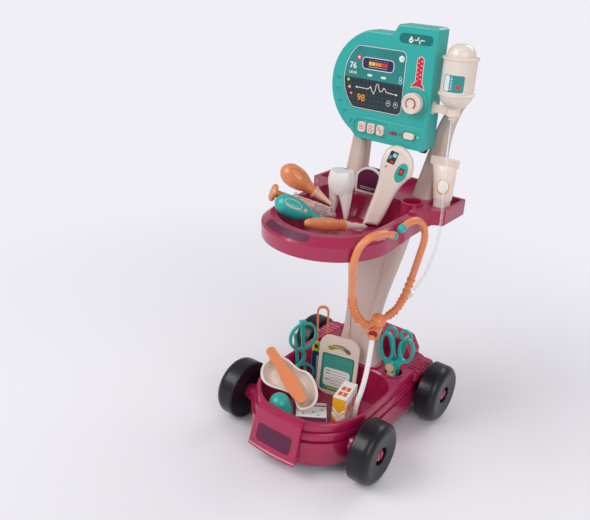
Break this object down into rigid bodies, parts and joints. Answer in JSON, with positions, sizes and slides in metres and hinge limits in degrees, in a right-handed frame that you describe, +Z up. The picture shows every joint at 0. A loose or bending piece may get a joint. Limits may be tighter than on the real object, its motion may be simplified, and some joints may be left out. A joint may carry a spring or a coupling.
{
  "type": "toy medical cart",
  "caption": "Child's toy doctor's cart on four wheels, with a basket base, leaning column, tool tray, heart monitor with dial and buttons, drip bottle and toy instruments.",
  "frame": {"origin": "on the floor, midway between the cart's sides and between its front and back", "axes": "+Z up, the front of the cart towards -Y, +X to its right seen from the front"},
  "size_m": [0.255, 0.298, 0.556],
  "materials": {
    "maroon_plastic": "glossy moulded plastic",
    "black_plastic": "satin black moulded plastic",
    "pink_beige_plastic": "satin moulded plastic",
    "teal_plastic": "satin moulded plastic",
    "cream_plastic": "glossy moulded plastic",
    "orange_plastic": "glossy moulded plastic",
    "white_plastic": "glossy moulded plastic",
    "printed_screen": "printed window, glossy",
    "printed_card": "printed card",
    "clear_plastic": "clear moulded plastic",
    "soft_tube": "soft vinyl tube",
    "steel": "plated steel",
    "circuit_green": "circuit board"
  },
  "bodies": {
    "cart": {"badge": "printed_card", "base_tub": "maroon_plastic", "batteries": "steel", "battery_door": "teal_plastic", "bottle": "cream_plastic", "bottle_bracket": "cream_plastic", "bottle_stopper": "cream_plastic", "bumper_panel": "maroon_plastic", "chassis_plate": "black_plastic", "chest_piece": "black_plastic", "circuit_board": "circuit_green", "clipboard": "cream_plastic", "column_front": "pink_beige_plastic", "column_rear": "pink_beige_plastic", "dental_tool": "orange_plastic", "ear_tips": "teal_plastic", "ear_viewer": "teal_plastic", "forceps": "teal_plastic", "glasses": "teal_plastic", "iv_needle": "white_plastic", "iv_tube": "soft_tube", "kidney_dish": "cream_plastic", "mast_arm_left": "pink_beige_plastic", "mast_arm_right": "pink_beige_plastic", "monitor_clips": "black_plastic", "monitor_front": "teal_plastic", "monitor_rear": "teal_plastic", "monitor_screws": "steel", "ointment_cap": "cream_plastic", "ointment_tube": "cream_plastic", "otoscope": "orange_plastic", "pill_box": "printed_card", "pill_card": "white_plastic", "plaster_box": "printed_card", "report_card": "printed_card", "scissors_left": "teal_plastic", "screen_window": "printed_screen", "spatula": "orange_plastic", "speaker": "black_plastic", "squeeze_bulb": "teal_plastic", "stethoscope_arms": "orange_plastic", "stethoscope_hose": "soft_tube", "stub_axles": "maroon_plastic", "syringe_barrel": "clear_plastic", "thermometer_gun": "cream_plastic", "tooth": "white_plastic", "tweezers": "orange_plastic", "upper_tray": "maroon_plastic"},
    "button_left": {"button_left": "cream_plastic"},
    "button_middle": {"button_middle": "cream_plastic"},
    "button_right": {"button_right": "cream_plastic"},
    "dial": {"dial": "cream_plastic"},
    "power_slider": {"power_slider": "cream_plastic"},
    "scissors_right": {"scissors_right": "teal_plastic"},
    "syringe_plunger": {"syringe_plunger": "orange_plastic"},
    "wheel_front_left": {"wheel_front_left": "black_plastic"},
    "wheel_front_right": {"wheel_front_right": "black_plastic"},
    "wheel_rear_left": {"wheel_rear_left": "black_plastic"},
    "wheel_rear_right": {"wheel_rear_right": "black_plastic"}
  },
  "joints": [
    {"name": "front_right_wheel_spin", "type": "hinge", "parent": "cart", "child": "wheel_front_right", "pos_m": [0.1125, -0.074, 0.043], "axis": [1, 0, 0], "continuous": true},
    {"name": "front_left_wheel_spin", "type": "hinge", "parent": "cart", "child": "wheel_front_left", "pos_m": [-0.1125, -0.074, 0.043], "axis": [1, 0, 0], "continuous": true},
    {"name": "rear_right_wheel_spin", "type": "hinge", "parent": "cart", "child": "wheel_rear_right", "pos_m": [0.1125, 0.106, 0.043], "axis": [1, 0, 0], "continuous": true},
    {"name": "rear_left_wheel_spin", "type": "hinge", "parent": "cart", "child": "wheel_rear_left", "pos_m": [-0.1125, 0.106, 0.043], "axis": [1, 0, 0], "continuous": true},
    {"name": "dial_turn", "type": "hinge", "parent": "cart", "child": "dial", "pos_m": [0.0355, 0.07, 0.4638], "axis": [0, -1, 0], "range_deg": [-150, 150]},
    {"name": "button_left_press", "type": "slide", "parent": "cart", "child": "button_left", "axis": [0, 1, 0], "range_m": [0, 0.002], "stiffness_N_per_m": 400, "springref_m": -0.001},
    {"name": "button_middle_press", "type": "slide", "parent": "cart", "child": "button_middle", "axis": [0, 1, 0], "range_m": [0, 0.002], "stiffness_N_per_m": 400, "springref_m": -0.001},
    {"name": "button_right_press", "type": "slide", "parent": "cart", "child": "button_right", "axis": [0, 1, 0], "range_m": [0, 0.002], "stiffness_N_per_m": 400, "springref_m": -0.001},
    {"name": "power_slide", "type": "slide", "parent": "cart", "child": "power_slider", "axis": [1, 0, 0], "range_m": [0, 0.006]},
    {"name": "plunger_slide", "type": "slide", "parent": "cart", "child": "syringe_plunger", "axis": [0.6811, 0.6482, -0.3406], "range_m": [-0.013, 0.007]},
    {"name": "scissors_open", "type": "hinge", "parent": "cart", "child": "scissors_right", "pos_m": [0.058, 0.0603, 0.087], "axis": [0, -1, 0], "range_deg": [-6, 6]}
  ]
}
